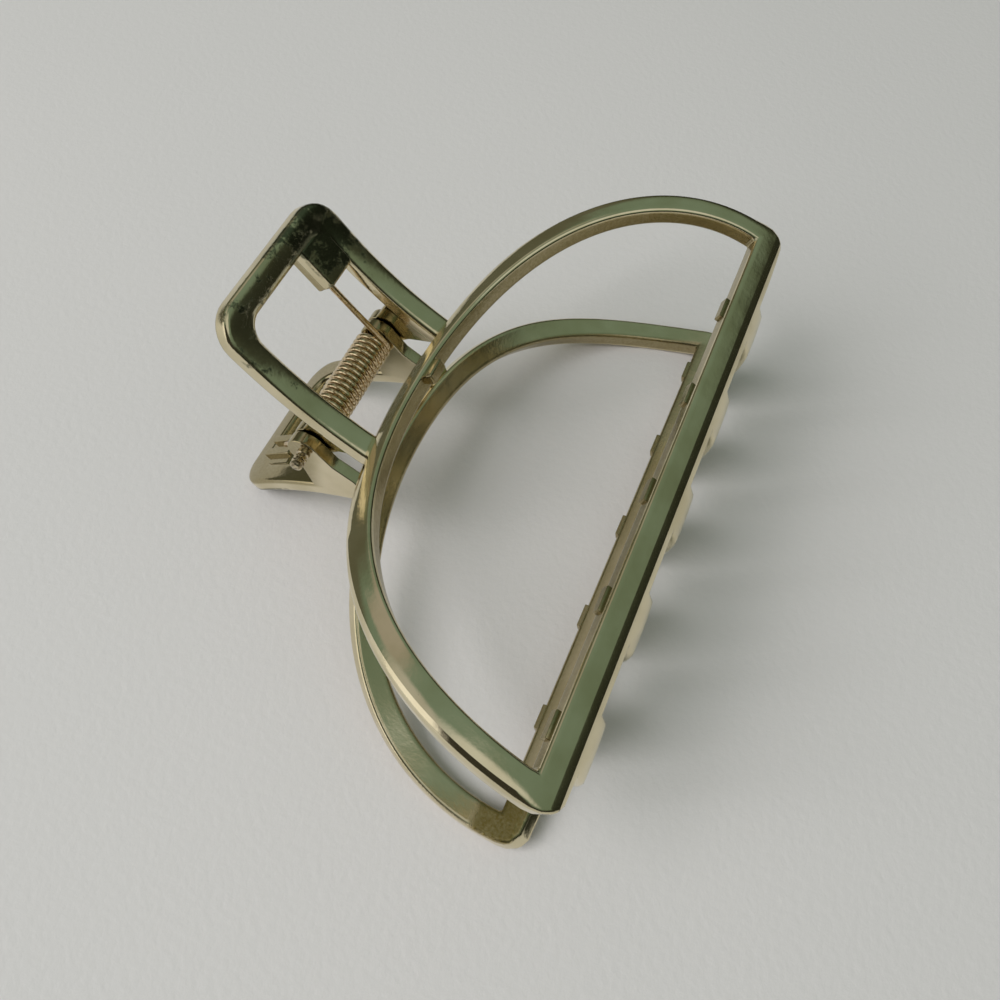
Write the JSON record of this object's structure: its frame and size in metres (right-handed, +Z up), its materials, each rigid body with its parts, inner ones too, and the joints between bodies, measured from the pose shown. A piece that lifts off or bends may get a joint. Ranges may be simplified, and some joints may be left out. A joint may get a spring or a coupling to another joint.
{
  "type": "claw clip",
  "caption": "Half-moon metal claw clip: two toothed jaws with open windows and finger handles, sprung shut on a hinge pin.",
  "frame": {"origin": "bottom centre of the closed clip's bounding box, as it lies on its lower jaw", "axes": "+X along the hinge pin towards its grooved free end, +Y from the handles towards the teeth, +Z up, the upper jaw above the lower one"},
  "size_m": [0.085, 0.0598, 0.0389],
  "materials": {
    "gold_plating": "mirror-bright pale champagne gold plating on die-cast zinc, rougher on the inner faces",
    "pin_metal": "plated steel rod with a grooved free end",
    "spring_wire": "bronze-gold plated spring wire, satin"
  },
  "bodies": {
    "lower_jaw": {"lower_frame": "gold_plating", "lower_teeth": "gold_plating", "lower_handle": "gold_plating", "lower_hinge_lugs": "gold_plating", "lower_spring_seat": "gold_plating", "hinge_pin": "pin_metal", "torsion_spring": "spring_wire"},
    "upper_jaw": {"upper_frame": "gold_plating", "upper_teeth": "gold_plating", "upper_handle": "gold_plating", "upper_hinge_lugs": "gold_plating", "upper_spring_seat": "gold_plating"}
  },
  "joints": [
    {"name": "jaw_hinge", "type": "hinge", "parent": "lower_jaw", "child": "upper_jaw", "pos_m": [0, -0.01797, 0.01842], "axis": [1, 0, 0], "range_deg": [0, 110], "stiffness_Nm_per_rad": 0.017, "springref_deg": -91.67, "deforming": ["torsion_spring"]}
  ]
}
